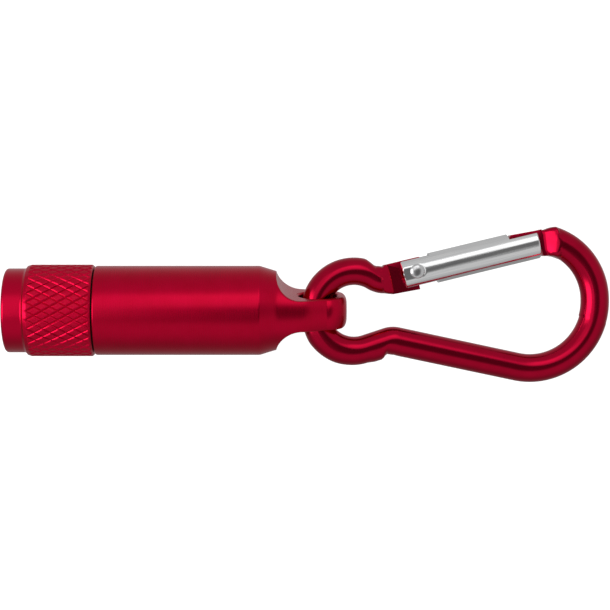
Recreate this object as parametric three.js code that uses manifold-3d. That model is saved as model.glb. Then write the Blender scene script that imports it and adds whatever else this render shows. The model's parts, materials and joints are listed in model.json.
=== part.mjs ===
// Keychain flashlight: a twist-to-light aluminium torch on a pear-shaped carabiner.
// Millimetres, +Z up. The torch and the carabiner lie on the XY plane, head towards -X.
import * as THREE from "three";
import { mergeVertices } from "three/addons/utils/BufferGeometryUtils.js";
import Module from "manifold-3d";

const wasm = await Module();
wasm.setup();

// ---------------------------------------------------------------- driving dimensions
// Torch frame: +X runs along the torch's axis to the tail, and x = 0 is the barrel's front rim.
const RUNNING_GAP = 0.05; // between pieces that sit in each other
const SHELL_SIDES = 36; // round the barrel and the head

const BARREL = {
  radius: 7.41,
  boreRadius: 6.1,
  boreEnd: 24.9,
  rimChamfer: 0.3,
  cylinderEnd: 27.4,
  coneEnd: 30.2,
  coneEndRadius: 6.54,
  shoulderX: 34.0,
  shoulderRadius: 5.25,
  sealDepth: 0.9,
  sealRadius: 6.78,
};
const LUG = {
  endX: 41.65,
  endRadius: 1.3,
  cornerRadius: 3.3,
  halfThickness: 2.6,
  scoopX: 34.3,
  scoopRadius: 4.15,
  holeX: 37.0,
  holeRadius: 3.2,
};
const HEAD = {
  frontX: -14.65,
  lipEndX: -11.0,
  lipRadius: 6.98,
  lipRound: 0.5,
  knurlRadius: 7.6,
  knurlChamfer: 0.4,
  rearX: -0.25,
  neckEndX: 3.9,
  boreRadius: 5.4,
  windowRadius: 4.7,
  windowFlare: 0.9,
  windowDepth: 0.95,
  grooveRadius: 5.98,
};
// A right-hand thread; the ridge is on the head's neck and the groove in the barrel.
const THREAD = {
  pitch: 0.75,
  startX: 0.95,
  ridgeEndX: 3.5,
  grooveEndX: 4.3,
  rootRadius: 6.05,
  boreRadius: 6.15,
  depth: 0.37,
  baseWidth: 0.5,
  crestWidth: 0.12,
  clearance: 0.08,
  stepsPerTurn: 24,
};
// A button cell: the can's rounded foot, then the crimp that steps in to the smaller cap.
const CELL = { radius: 5.8, height: 5.4, frontX: 4.7, count: 3, gap: 0.02 };
const CELL_CAP = { canEnd: 4.5, crimpEnd: 4.9, crimpRadius: 5.15, start: 5.0, radius: 4.75, edge: 0.1 };
const SLEEVE_TUBE = { radius: 5.86, frontInset: 0.4, backInset: 0.6 };
const WIRE_RADIUS = 2.3; // the carabiner's rod
const ROLL = THREE.MathUtils.degToRad(12); // how far the lug leans over on the rod

// Carabiner frame: origin on the lug hole's axis, +X along the carabiner, +Z through its loop.
const EYE = { x: 6.09, y: -0.07, radius: 6.59 }; // the small loop that holds the lug
const SPINE = { eyeExit: 18, slope: -12, neckRun: 3.8, neckRadius: 2.97, run: 20.82 };
const BEND = { lowRadius: 11.2, sideRun: 0.27, topRadius: 10.42, noseRadius: 3.2, stepDegrees: 11 };
const GATE = {
  angle: 13.5,
  hingeRun: 5.2,
  eyeExit: -31.4,
  hingeRadius: 2.4,
  radius: 2.5,
  back: -2.35,
  front: 21.35,
  slotHalf: 1.3,
  topSlotEnd: 2.4,
  lowSlotEnd: 3.4,
  boreRadius: 1.8,
  boreEnd: 13.0,
  noseSlot: 16.1,
  noseFloor: -1.3,
  noseTop: 1.55,
};
const TONGUE = { half: 1.1, rampStart: 5.8, rampEnd: 4.35, top: 2.1, low: -2.73, step: -3.03, stepX: 0 };
const CAM = { face: 1.9, arm: 1.0, swing: THREE.MathUtils.degToRad(31) };
// The tongue's top slopes from tipTop to top; its root fills the inner corner of the last bend down to heel.
const NOSE = {
  tip: 16.45,
  shoulder: 21.7,
  rampStart: 22.6,
  rampEnd: 24.8,
  tipTop: 2.2,
  top: 1.95,
  low: -1.0,
  heel: -2.65,
};
const RIVET = { radius: 0.9, headRadius: 1.2, headHeight: 0.35 };
const PLUNGER = { radius: 1.6, length: 2.0 };

// ---------------------------------------------------------------- materials
const RED = { color: 0xb4001f, roughness: 0.28, metalness: 1 };
const SILVER = { color: 0xc9cacb, roughness: 0.25, metalness: 1 };
const STEEL = { color: 0xb5b6b8, roughness: 0.3, metalness: 1 };
const CHROME = { color: 0xe6e7e8, roughness: 0.06, metalness: 1 };
const CLEAR = { color: 0xf2f6f8, roughness: 0.04, metalness: 0, transparent: true, opacity: 0.35 };
const RUBBER = { color: 0x141414, roughness: 0.8, metalness: 0 };
const BOARD = { color: 0x1f6b3a, roughness: 0.5, metalness: 0 };
const HOLDER = { color: 0xe9e8e3, roughness: 0.5, metalness: 0 };
const SLEEVE = { color: 0x20242c, roughness: 0.6, metalness: 0 };

const model = new THREE.Group();
const torch = new THREE.Group();
const carabiner = new THREE.Group();
const gateFrame = new THREE.Group();
model.add(torch, carabiner);
carabiner.add(gateFrame);

function add(group, name, geometry, finish) {
  const mesh = new THREE.Mesh(geometry, new THREE.MeshStandardMaterial(finish));
  mesh.name = name;
  group.add(mesh);
  return mesh;
}

// ---------------------------------------------------------------- solids
// A three.js geometry as a manifold solid: shared vertices merged, collapsed triangles dropped.
function solid(geometry) {
  const bare = new THREE.BufferGeometry().setAttribute("position", geometry.getAttribute("position"));
  bare.setIndex(geometry.index);
  const merged = mergeVertices(bare, 1e-4);
  const kept = [];
  const index = merged.index.array;
  for (let i = 0; i < index.length; i += 3) {
    const [a, b, c] = [index[i], index[i + 1], index[i + 2]];
    if (a !== b && b !== c && c !== a) kept.push(a, b, c);
  }
  return new wasm.Manifold(
    new wasm.Mesh({
      numProp: 3,
      vertProperties: merged.getAttribute("position").array,
      triVerts: new Uint32Array(kept),
    }),
  );
}

function geometryOf(made) {
  const mesh = made.getMesh();
  const geometry = new THREE.BufferGeometry();
  geometry.setAttribute("position", new THREE.BufferAttribute(mesh.vertProperties, 3));
  geometry.setIndex(new THREE.BufferAttribute(mesh.triVerts, 1));
  geometry.computeVertexNormals();
  return geometry;
}

// A profile of [x, radius] points turned about the X axis. The outline runs from low x to high x
// along the outside and back along the inside, or starts and ends on the axis.
function turned(profile, segments = 28) {
  const points = profile.map(([x, r]) => new THREE.Vector2(r, x));
  return new THREE.LatheGeometry(points, segments).rotateZ(-Math.PI / 2);
}

function ring(profile, segments = 28) {
  return turned([...profile, profile[0]], segments);
}

// Points of a round corner in a turned profile, from one angle to another in degrees.
function corner(x, r, radius, from, to, steps = 5) {
  const points = [];
  for (let i = 0; i <= steps; i++) {
    const a = THREE.MathUtils.degToRad(from + ((to - from) * i) / steps);
    points.push([x + radius * Math.cos(a), r + radius * Math.sin(a)]);
  }
  return points;
}

// An outline in the XY plane made into a plate that is centred on z = 0.
function plate(shape, half, curveSegments = 8) {
  const options = { depth: 2 * half, bevelEnabled: false, curveSegments };
  return new THREE.ExtrudeGeometry(shape, options).translate(0, 0, -half);
}

function outline(points) {
  return new THREE.Shape(points.map(([x, y]) => new THREE.Vector2(x, y)));
}

// A helix about the X axis whose section keeps its side to the axis, for springs and threads.
class Helix extends THREE.Curve {
  constructor(x0, x1, r0, r1, turns, phase = 0) {
    super();
    Object.assign(this, { x0, x1, r0, r1, turns, phase });
  }
  angle(t) {
    return this.phase + 2 * Math.PI * this.turns * t;
  }
  getPoint(t, target = new THREE.Vector3()) {
    const r = THREE.MathUtils.lerp(this.r0, this.r1, t);
    const a = this.angle(t);
    return target.set(THREE.MathUtils.lerp(this.x0, this.x1, t), r * Math.cos(a), r * Math.sin(a));
  }
  getPointAt(t, target) {
    return this.getPoint(t, target);
  }
  computeFrenetFrames(steps) {
    const frames = { tangents: [], normals: [], binormals: [] };
    for (let i = 0; i <= steps; i++) {
      const a = this.angle(i / steps);
      frames.tangents.push(new THREE.Vector3(0, -Math.sin(a), Math.cos(a)));
      frames.normals.push(new THREE.Vector3(0, Math.cos(a), Math.sin(a)));
      frames.binormals.push(new THREE.Vector3(-1, 0, 0));
    }
    return frames;
  }
}

function coil(helix, section, stepsPerTurn) {
  const steps = Math.round(helix.turns * stepsPerTurn);
  return new THREE.ExtrudeGeometry(section, { steps, extrudePath: helix, bevelEnabled: false });
}

function disc(radius, sides) {
  const points = [];
  for (let i = 0; i < sides; i++) {
    const a = (2 * Math.PI * i) / sides;
    points.push([radius * Math.cos(a), radius * Math.sin(a)]);
  }
  return outline(points);
}

function spring(x0, x1, r0, r1, turns, wire) {
  return coil(new Helix(x0, x1, r0, r1, turns), disc(wire / 2, 5), 10);
}

// The thread's ridge, or with a clearance the groove that it runs in.
function threadForm(endX, clearance) {
  const { pitch, startX, rootRadius, depth, baseWidth, crestWidth } = THREAD;
  const buried = 0.12;
  const slope = (baseWidth - crestWidth) / 2 / depth;
  const foot = baseWidth / 2 + buried * slope + clearance;
  const crest = crestWidth / 2 + clearance;
  const top = depth + (clearance ? 0.1 : 0);
  const form = outline([
    [-buried, -foot],
    [top, -crest],
    [top, crest],
    [-buried, foot],
  ]);
  const lead = clearance ? pitch : 0;
  const turns = (endX - startX + lead) / pitch;
  const phase = (-2 * Math.PI * lead) / pitch;
  const path = new Helix(startX - lead, endX, rootRadius, rootRadius, turns, phase);
  return coil(path, form, THREAD.stepsPerTurn);
}

// ---------------------------------------------------------------- the torch's shells
function makeBarrel() {
  const b = BARREL;
  const end = corner(LUG.endX - LUG.cornerRadius, LUG.endRadius, LUG.cornerRadius, 90, 0);
  const outside = turned(
    [
      [0, 0],
      [0, b.radius - b.rimChamfer],
      [b.rimChamfer, b.radius],
      [b.cylinderEnd, b.radius],
      [b.coneEnd, b.coneEndRadius],
      [b.shoulderX, b.shoulderRadius],
      ...end,
      [LUG.endX, 0],
    ],
    SHELL_SIDES,
  );
  const inside = turned(
    [
      [-1, 0],
      [-1, b.sealRadius],
      [b.sealDepth, b.sealRadius],
      [b.sealDepth, THREAD.boreRadius],
      [THREAD.grooveEndX + 0.3, THREAD.boreRadius],
      [THREAD.grooveEndX + 0.3, b.boreRadius],
      [b.boreEnd, b.boreRadius],
      [b.boreEnd, 0],
    ],
    SHELL_SIDES,
  );
  const scoop = new THREE.Shape();
  const reach = b.radius + 2;
  scoop.moveTo(LUG.scoopX - LUG.scoopRadius, reach);
  scoop.lineTo(LUG.scoopX - LUG.scoopRadius, LUG.halfThickness + LUG.scoopRadius);
  const centreY = LUG.halfThickness + LUG.scoopRadius;
  scoop.absarc(LUG.scoopX, centreY, LUG.scoopRadius, Math.PI, 1.5 * Math.PI, false);
  scoop.lineTo(LUG.endX + 1, LUG.halfThickness);
  scoop.lineTo(LUG.endX + 1, reach);
  const upperScoop = solid(plate(scoop, reach, 8));
  const lowerScoop = solid(plate(scoop, reach, 8).rotateX(Math.PI));
  const hole = solid(
    new THREE.CylinderGeometry(LUG.holeRadius, LUG.holeRadius, 3 * LUG.halfThickness, 32)
      .translate(LUG.holeX, 0, 0),
  );
  const groove = solid(threadForm(THREAD.grooveEndX, THREAD.clearance));
  return geometryOf(
    solid(outside)
      .subtract(solid(inside))
      .subtract(groove)
      .subtract(upperScoop)
      .subtract(lowerScoop)
      .subtract(hole),
  );
}

function makeHead() {
  const h = HEAD;
  const shell = ring(
    [
      [h.frontX, h.windowRadius + h.windowFlare],
      ...corner(h.frontX + h.lipRound, h.lipRadius - h.lipRound, h.lipRound, 180, 90, 3),
      [h.lipEndX, h.lipRadius],
      [h.lipEndX, h.knurlRadius - h.knurlChamfer],
      [h.lipEndX + h.knurlChamfer, h.knurlRadius],
      [h.rearX - 0.3, h.knurlRadius],
      [h.rearX, h.knurlRadius - 0.3],
      [h.rearX, h.grooveRadius],
      [0.75, h.grooveRadius],
      [0.75, THREAD.rootRadius],
      [h.neckEndX - 0.2, THREAD.rootRadius],
      [h.neckEndX, THREAD.rootRadius - 0.2],
      [h.neckEndX, h.boreRadius],
      [h.frontX + h.windowDepth, h.boreRadius],
      [h.frontX + h.windowDepth, h.windowRadius],
    ],
    SHELL_SIDES,
  );
  return geometryOf(solid(shell).add(solid(threadForm(THREAD.ridgeEndX, 0))));
}

// ---------------------------------------------------------------- what the head holds
const LENS_FRONT = HEAD.frontX + HEAD.windowDepth + RUNNING_GAP;
const MODULE_RADIUS = 5.3;
const REFLECTOR_FRONT = LENS_FRONT + 1.05;
const HOLDER_FRONT = -8.5;
const HOLDER_END = 1.9;
const LED_BASE = -3.9;
const BOARD_FRONT = HOLDER_END + RUNNING_GAP;
const BOARD_BACK = BOARD_FRONT + 1.0;

function makeLens() {
  const thickness = 1.0;
  return turned([
    [LENS_FRONT, 0],
    [LENS_FRONT, MODULE_RADIUS],
    [LENS_FRONT + thickness, MODULE_RADIUS],
    [LENS_FRONT + thickness, 0],
  ]);
}

// A shallow parabolic cup round the light's dome.
function makeReflector() {
  const throat = 2.62;
  const mouth = 4.9;
  const back = HOLDER_FRONT - RUNNING_GAP;
  const cup = [];
  const steps = 5;
  for (let i = 0; i <= steps; i++) {
    const r = THREE.MathUtils.lerp(mouth, throat, i / steps);
    const rise = (r * r - throat * throat) / (mouth * mouth - throat * throat);
    cup.push([THREE.MathUtils.lerp(back - 0.4, REFLECTOR_FRONT, rise), r]);
  }
  return ring([[REFLECTOR_FRONT, MODULE_RADIUS], [back, MODULE_RADIUS], [back, throat], ...cup.reverse()]);
}

// A 5 mm light-emitting diode: flange, body and dome, tip towards the lens.
const LED = { radius: 2.5, length: 8.6, flange: 1.0, flangeRadius: 2.9 };

function makeLed() {
  const domeCentre = LED_BASE - LED.length + LED.radius;
  const flangeStart = LED_BASE - LED.flange;
  return turned(
    [
      ...corner(domeCentre, 0, LED.radius, 180, 90, 6).map(([x, r], i) => [x, i ? r : 0]),
      [flangeStart, LED.radius],
      [flangeStart, LED.flangeRadius],
      [LED_BASE, LED.flangeRadius],
      [LED_BASE, 0],
    ],
    24,
  );
}

// A plastic bush: the light's body in front, a seat for its flange, then room for the two leads.
function makeHolder() {
  const body = LED.radius + 0.1;
  const seat = LED.flangeRadius + 0.1;
  const room = 4.3;
  const seatStart = LED_BASE - LED.flange - 0.1;
  const seatEnd = LED_BASE + 0.1;
  return ring([
    [HOLDER_FRONT, body],
    [HOLDER_FRONT, MODULE_RADIUS],
    [HOLDER_END, MODULE_RADIUS],
    [HOLDER_END, room],
    [seatEnd, room],
    [seatEnd, seat],
    [seatStart, seat],
    [seatStart, body],
  ]);
}

const LEAD = { half: 0.25, offset: 1.27 };

function makeLead(side) {
  const start = LED_BASE + RUNNING_GAP;
  const end = BOARD_BACK + 0.25;
  const size = 2 * LEAD.half;
  return new THREE.BoxGeometry(end - start, size, size).translate((start + end) / 2, side * LEAD.offset, 0);
}

function makeBoard() {
  const face = disc(MODULE_RADIUS, 28);
  for (const side of [1, -1]) {
    const hole = new THREE.Path();
    hole.absarc(0, side * LEAD.offset, LEAD.half * 1.6, 0, 2 * Math.PI, true);
    face.holes.push(hole);
  }
  return plate(face, 0.5, 3).rotateY(Math.PI / 2).translate((BOARD_FRONT + BOARD_BACK) / 2, 0, 0);
}

// A ring pressed into the neck, which keeps the board and all in front of it in the head.
function makeRetainer() {
  const inner = 4.6;
  const outer = HEAD.boreRadius - RUNNING_GAP;
  const front = BOARD_BACK + 0.1;
  const back = HEAD.neckEndX - 0.1;
  return ring([[front, inner], [front, outer], [back, outer], [back, inner]]);
}

function makeSealRing() {
  const thickness = 0.36;
  const centre = { x: 0.22, r: HEAD.grooveRadius + thickness + 0.02 };
  return ring(corner(centre.x, centre.r, thickness, 180, -180, 8).slice(0, -1), 32);
}

// ---------------------------------------------------------------- what the barrel holds
function makeCell(index) {
  const x = CELL.frontX + index * (CELL.height + CELL.gap);
  const foot = 0.25;
  const cap = CELL_CAP;
  return turned([
    [x, 0],
    [x, CELL.radius - foot],
    [x + foot, CELL.radius],
    [x + cap.canEnd, CELL.radius],
    [x + cap.crimpEnd, cap.crimpRadius],
    [x + cap.start, cap.radius],
    [x + CELL.height - cap.edge, cap.radius - cap.edge],
    [x + CELL.height, cap.radius - 3 * cap.edge],
    [x + CELL.height, 0],
  ]);
}

function makeSleeve() {
  const front = CELL.frontX + SLEEVE_TUBE.frontInset;
  const back = BARREL.boreEnd - SLEEVE_TUBE.backInset;
  const outer = BARREL.boreRadius - RUNNING_GAP;
  return ring([[front, SLEEVE_TUBE.radius], [front, outer], [back, outer], [back, SLEEVE_TUBE.radius]]);
}

// ---------------------------------------------------------------- the carabiner
// A flat path drawn by a pen that runs straight or bends, as stations with their headings.
class Pen {
  constructor(x, y, headingDegrees) {
    this.x = x;
    this.y = y;
    this.heading = THREE.MathUtils.degToRad(headingDegrees);
    this.stations = [this.station()];
  }
  station() {
    return { x: this.x, y: this.y, heading: this.heading };
  }
  run(length) {
    this.x += length * Math.cos(this.heading);
    this.y += length * Math.sin(this.heading);
    this.stations.push(this.station());
    return this;
  }
  bend(radius, degrees) {
    const steps = Math.ceil(Math.abs(degrees) / BEND.stepDegrees);
    const turn = THREE.MathUtils.degToRad(degrees) / steps;
    const chord = 2 * radius * Math.sin(Math.abs(turn) / 2);
    for (let i = 0; i < steps; i++) {
      this.heading += turn / 2;
      this.x += chord * Math.cos(this.heading);
      this.y += chord * Math.sin(this.heading);
      this.heading += turn / 2;
      this.stations.push(this.station());
    }
    return this;
  }
}

// The rod's centreline through a list of stations, with one step of the extrusion at each.
class RodLine extends THREE.Curve {
  constructor(stations) {
    super();
    this.stations = stations;
  }
  getPointAt(t, target = new THREE.Vector3()) {
    const at = this.stations[Math.round(t * (this.stations.length - 1))];
    return target.set(at.x, at.y, 0);
  }
  computeFrenetFrames() {
    const across = this.stations.map(({ heading }) => [Math.cos(heading), Math.sin(heading)]);
    return {
      tangents: across.map(([c, s]) => new THREE.Vector3(c, s, 0)),
      normals: across.map(([c, s]) => new THREE.Vector3(-s, c, 0)),
      binormals: across.map(() => new THREE.Vector3(0, 0, 1)),
    };
  }
}

const eyeLeft = EYE.x - EYE.radius;

// From the eye's far left over its top to the gate's hinge, ending short of the hinge pin.
const hingeArm = new Pen(eyeLeft, EYE.y, 90)
  .bend(EYE.radius, GATE.eyeExit - 90)
  .bend(GATE.hingeRadius, GATE.angle - GATE.eyeExit)
  .run(GATE.hingeRun - TONGUE.rampEnd);
const gateAxis = new THREE.Vector2(Math.cos(hingeArm.heading), Math.sin(hingeArm.heading));
const gateNormal = new THREE.Vector2(-gateAxis.y, gateAxis.x);
const hingePin = new THREE.Vector2(hingeArm.x, hingeArm.y).addScaledVector(gateAxis, TONGUE.rampEnd);

// From the eye's far left round its foot, along the spine and up the wide bend.
const spineArm = new Pen(eyeLeft, EYE.y, -90)
  .bend(EYE.radius, 90 + SPINE.eyeExit)
  .run(SPINE.neckRun)
  .bend(SPINE.neckRadius, SPINE.slope - SPINE.eyeExit)
  .run(SPINE.run)
  .bend(BEND.lowRadius, 90 - SPINE.slope)
  .run(BEND.sideRun);

// The last two bends carry the rod onto the gate's own axis, so the nose meets the gate squarely.
function bendOntoGate(arm) {
  const topCentre = new THREE.Vector2(arm.x - BEND.topRadius, arm.y);
  const rise = gateNormal.dot(hingePin.clone().sub(topCentre)) - BEND.noseRadius;
  const reach = BEND.topRadius - BEND.noseRadius;
  const along = Math.sqrt(reach * reach - rise * rise);
  const toNose = gateNormal.clone().multiplyScalar(rise).addScaledVector(gateAxis, along);
  const switchAngle = THREE.MathUtils.radToDeg(Math.atan2(toNose.y, toNose.x));
  arm.bend(BEND.topRadius, switchAngle);
  arm.bend(BEND.noseRadius, 90 + GATE.angle - switchAngle);
}
bendOntoGate(spineArm);

// Moves a shape drawn in the gate's frame (origin on the hinge pin, +X to the nose) to the carabiner's.
function placeOnGate(geometry) {
  return geometry.rotateZ(THREE.MathUtils.degToRad(GATE.angle)).translate(hingePin.x, hingePin.y, 0);
}

// The bent rod, from the hinge tongue round the eye, the spine and the wide bend to the nose.
function makeRod() {
  const back = hingeArm.stations.slice(1).reverse();
  const fromHinge = back.map(({ x, y, heading }) => ({ x, y, heading: heading + Math.PI }));
  const line = new RodLine([...fromHinge, ...spineArm.stations]);
  return new THREE.ExtrudeGeometry(disc(WIRE_RADIUS, 12), {
    steps: line.stations.length - 1,
    extrudePath: line,
    bevelEnabled: false,
  });
}

// Where the rod is pressed flat: a wedge that takes the rod down to the tongue's thickness.
function rampCut(start, end, side) {
  const tall = WIRE_RADIUS + 1;
  const outward = end + Math.sign(end - start) * 4;
  const shape = outline([
    [start, WIRE_RADIUS],
    [end, TONGUE.half],
    [outward, TONGUE.half],
    [outward, tall],
    [start, tall],
  ]);
  const wedge = new THREE.ExtrudeGeometry(shape, { depth: 8, bevelEnabled: false })
    .translate(0, 0, -4)
    .rotateX(side * (Math.PI / 2));
  return solid(placeOnGate(wedge));
}

// The hinge tongue's end is an involute cam: the plunger moves in step with the gate's swing.
function camPoints() {
  const points = [];
  const steps = 6;
  for (let i = 0; i <= steps; i++) {
    const a = (CAM.swing * i) / steps;
    const reach = CAM.face + CAM.arm * a;
    points.push([
      reach * Math.cos(a) - CAM.arm * Math.sin(a),
      -reach * Math.sin(a) - CAM.arm * Math.cos(a),
    ]);
  }
  return points;
}

function makeHingeTongue() {
  const cam = camPoints().reverse();
  const chamfer = 0.9;
  const root = -TONGUE.rampEnd - 0.6; // inside the rod, where the tongue begins
  return outline([
    [root - 0.6, TONGUE.low],
    [TONGUE.stepX, TONGUE.step],
    [TONGUE.stepX, cam[0][1]],
    ...cam,
    [CAM.face, TONGUE.top - chamfer],
    [CAM.face - chamfer, TONGUE.top],
    [root, TONGUE.top],
  ]);
}

function makeNoseTongue() {
  return outline([
    [NOSE.tip, NOSE.low + 0.5],
    [NOSE.tip + 0.5, NOSE.low],
    [NOSE.shoulder, NOSE.low],
    [NOSE.shoulder, -WIRE_RADIUS],
    [NOSE.rampStart, NOSE.heel],
    [NOSE.rampStart + 1.2, NOSE.heel],
    [NOSE.rampStart + 1.2, NOSE.top],
    [NOSE.shoulder, NOSE.top],
    [NOSE.tip + 0.3, NOSE.tipTop],
    [NOSE.tip, NOSE.tipTop - 0.3],
  ]);
}

function makeCarabinerBody() {
  const pinHole = new THREE.CylinderGeometry(1, 1, 8, 16).rotateX(Math.PI / 2);
  pinHole.translate(hingePin.x, hingePin.y, 0);
  let body = solid(makeRod());
  for (const side of [1, -1]) {
    body = body.subtract(rampCut(-TONGUE.rampStart, -TONGUE.rampEnd, side));
    body = body.subtract(rampCut(NOSE.rampEnd, NOSE.rampStart, side));
  }
  return geometryOf(
    body
      .add(solid(placeOnGate(plate(makeHingeTongue(), TONGUE.half))))
      .add(solid(placeOnGate(plate(makeNoseTongue(), TONGUE.half))))
      .subtract(solid(pinHole)),
  );
}

// ---------------------------------------------------------------- the gate, in its own frame
function makeGate() {
  const g = GATE;
  const edge = 0.2;
  const rod = turned(
    [
      [g.back, 0],
      [g.back, g.radius - edge],
      [g.back + edge, g.radius],
      [g.front - edge, g.radius],
      [g.front, g.radius - edge],
      [g.front, 0],
    ],
    28,
  );
  const bore = turned([[g.back - 1, 0], [g.back - 1, g.boreRadius], [g.boreEnd, g.boreRadius], [g.boreEnd, 0]], 20);
  const box = (x0, x1, y0, y1, half = g.slotHalf) =>
    solid(new THREE.BoxGeometry(x1 - x0, y1 - y0, 2 * half).translate((x0 + x1) / 2, (y0 + y1) / 2, 0));
  const pin = solid(new THREE.CylinderGeometry(0.95, 0.95, 8, 16).rotateX(Math.PI / 2));
  return geometryOf(
    solid(rod)
      .subtract(solid(bore))
      .subtract(box(g.back - 1, g.topSlotEnd, 0, 4))
      .subtract(box(g.back - 1, g.lowSlotEnd, -4, 0.1))
      .subtract(box(g.noseSlot, g.front + 1, g.noseFloor, 4))
      .subtract(box(g.noseSlot, g.front + 1, g.noseTop, 4, g.radius + 1))
      .subtract(pin),
  );
}

function makeRivet() {
  const { radius, headRadius, headHeight } = RIVET;
  const seat = GATE.radius + 0.02;
  const end = seat + headHeight;
  return turned(
    [
      [-end, 0],
      [-end, headRadius * 0.6],
      [-end + headHeight * 0.45, headRadius * 0.92],
      [-seat, headRadius],
      [-seat, radius],
      [seat, radius],
      [seat, headRadius],
      [end - headHeight * 0.45, headRadius * 0.92],
      [end, headRadius * 0.6],
      [end, 0],
    ],
    16,
  )
    .rotateY(-Math.PI / 2)
    .translate(hingePin.x, hingePin.y, 0);
}

const plungerStart = CAM.face + RUNNING_GAP;
const plungerEnd = plungerStart + PLUNGER.length;

function makePlunger() {
  return turned(
    [
      [plungerStart, 0],
      [plungerStart, PLUNGER.radius],
      [plungerEnd - 0.8, PLUNGER.radius],
      [plungerEnd - 0.8, 0.9],
      [plungerEnd, 0.9],
      [plungerEnd, 0],
    ],
    16,
  );
}

// ---------------------------------------------------------------- assembly
add(torch, "barrel", makeBarrel(), RED);
add(torch, "battery_sleeve", makeSleeve(), SLEEVE);
["cell_front", "cell_middle", "cell_rear"].forEach((name, i) => add(torch, name, makeCell(i), STEEL));
const lastCell = CELL.frontX + CELL.count * (CELL.height + CELL.gap);
add(torch, "tail_spring", spring(lastCell + 0.3, BARREL.boreEnd - 0.3, 3.2, 4.8, 3.5, 0.5), STEEL);

add(torch, "reflector", makeReflector(), CHROME);
add(torch, "led", makeLed(), CLEAR);
add(torch, "led_holder", makeHolder(), HOLDER);
add(torch, "led_anode_lead", makeLead(1), STEEL);
add(torch, "led_cathode_lead", makeLead(-1), STEEL);
add(torch, "led_board", makeBoard(), BOARD);
add(torch, "contact_spring", spring(BOARD_BACK + 0.25, CELL.frontX - 0.38, 2.6, 2.0, 2, 0.36), STEEL);

add(torch, "head", makeHead(), RED);
add(torch, "lens", makeLens(), CLEAR);
add(torch, "module_retainer", makeRetainer(), STEEL);
add(torch, "neck_seal", makeSealRing(), RUBBER);

add(carabiner, "carabiner_body", makeCarabinerBody(), RED);
add(carabiner, "gate_rivet", makeRivet(), SILVER);
add(gateFrame, "gate", makeGate(), SILVER);
add(gateFrame, "gate_plunger", makePlunger(), STEEL);
add(gateFrame, "gate_spring", spring(plungerEnd - 0.55, GATE.boreEnd - 0.25, 1.4, 1.4, 8, 0.36), STEEL);

// The gate's frame sits on the hinge pin. The torch lies on its knurled head, rolled a little,
// and the carabiner hangs from the lug's hole down to the table.
gateFrame.position.set(hingePin.x, hingePin.y, 0);
gateFrame.rotation.z = THREE.MathUtils.degToRad(GATE.angle);
torch.position.set(0, 0, HEAD.knurlRadius);
torch.rotation.x = ROLL;
const reach = Math.max(...spineArm.stations.map(({ x }) => x));
carabiner.position.set(LUG.holeX, 0, HEAD.knurlRadius);
carabiner.rotation.y = Math.asin((HEAD.knurlRadius - WIRE_RADIUS) / reach);

// The part's origin is the middle of the footprint of its box, on the table.
const box = new THREE.Box3().setFromObject(model, true);
const middle = box.getCenter(new THREE.Vector3());
model.position.set(-middle.x, -middle.y, -box.min.z);

export default model;
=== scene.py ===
import json
import math

import bmesh
import bpy
import numpy as np
from mathutils import Matrix, Vector


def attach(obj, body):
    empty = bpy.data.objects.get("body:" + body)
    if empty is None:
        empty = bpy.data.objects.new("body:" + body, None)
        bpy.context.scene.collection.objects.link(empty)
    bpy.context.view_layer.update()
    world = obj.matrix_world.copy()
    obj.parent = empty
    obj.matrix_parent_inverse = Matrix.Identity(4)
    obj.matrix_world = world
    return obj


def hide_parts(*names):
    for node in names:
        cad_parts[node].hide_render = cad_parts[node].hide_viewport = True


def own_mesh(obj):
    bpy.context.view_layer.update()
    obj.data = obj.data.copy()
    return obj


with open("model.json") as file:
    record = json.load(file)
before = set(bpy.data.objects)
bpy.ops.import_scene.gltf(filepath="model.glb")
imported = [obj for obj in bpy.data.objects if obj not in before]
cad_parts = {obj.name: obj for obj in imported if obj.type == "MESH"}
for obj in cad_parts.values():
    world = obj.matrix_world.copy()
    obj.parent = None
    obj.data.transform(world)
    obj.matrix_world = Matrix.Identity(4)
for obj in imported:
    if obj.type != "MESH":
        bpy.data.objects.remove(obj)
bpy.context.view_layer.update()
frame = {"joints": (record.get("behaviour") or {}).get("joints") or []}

MM = 0.001
TAU = 2 * math.pi
QUARTER = math.pi / 2
SHARP, SHARP_CUT = 32, 24  # the angles, in degrees, above which an edge is sharp

# ---------- driving dimensions, in mm
# Torch frame: +X runs to the tail, and x = 0 lies in the seam between the head and the barrel.
BARREL = dict(front=0.2, radius=7.41, bore=6.1, bore_end=24.9, rim=0.28, seal_radius=6.78, seal_depth=0.9)
SHOULDER = dict(start=27.4, cone_end=30.2, cone_radius=6.54, waist=35.2, waist_radius=5.7)
LUG = dict(end=41.8, corner=3.3, flat=1.3, half=2.6, scoop_x=34.3, scoop=4.15, hole_x=37.0, hole=3.2)
HEAD = dict(front=-14.65, lip=6.98, lip_round=0.5, lip_end=-11.3, knurl_x=-10.45, knurl=7.6, rear=-0.02)
NECK = dict(end=3.9, bore=5.4, groove=5.98, groove_end=0.7)
WINDOW = dict(radius=4.7, flare=0.9, depth=0.95)
KNURL = dict(starts=32, helix=30, depth=0.15, samples=16, half_groove=2.4)
THREAD = dict(pitch=0.75, start=0.95, ridge_end=3.5, groove_end=4.3, root=6.05, wall=6.15, depth=0.37)
MODULE_RADIUS = 5.3
LENS_FRONT = HEAD["front"] + WINDOW["depth"] + 0.05
REFLECTOR = dict(front=LENS_FRONT + 1.05, back=-8.55, mouth=4.9, throat=2.62)
LED = dict(base=-3.9, length=8.6, radius=2.5, flange=1.0, flange_radius=2.9)
HOLDER = dict(front=-8.5, end=1.9, room=4.3)
BOARD = dict(front=1.95, back=2.95)
LEAD = dict(half=0.25, offset=1.27)
CELL = dict(radius=5.8, height=5.4, front=4.7, gap=0.02, count=3)

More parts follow.
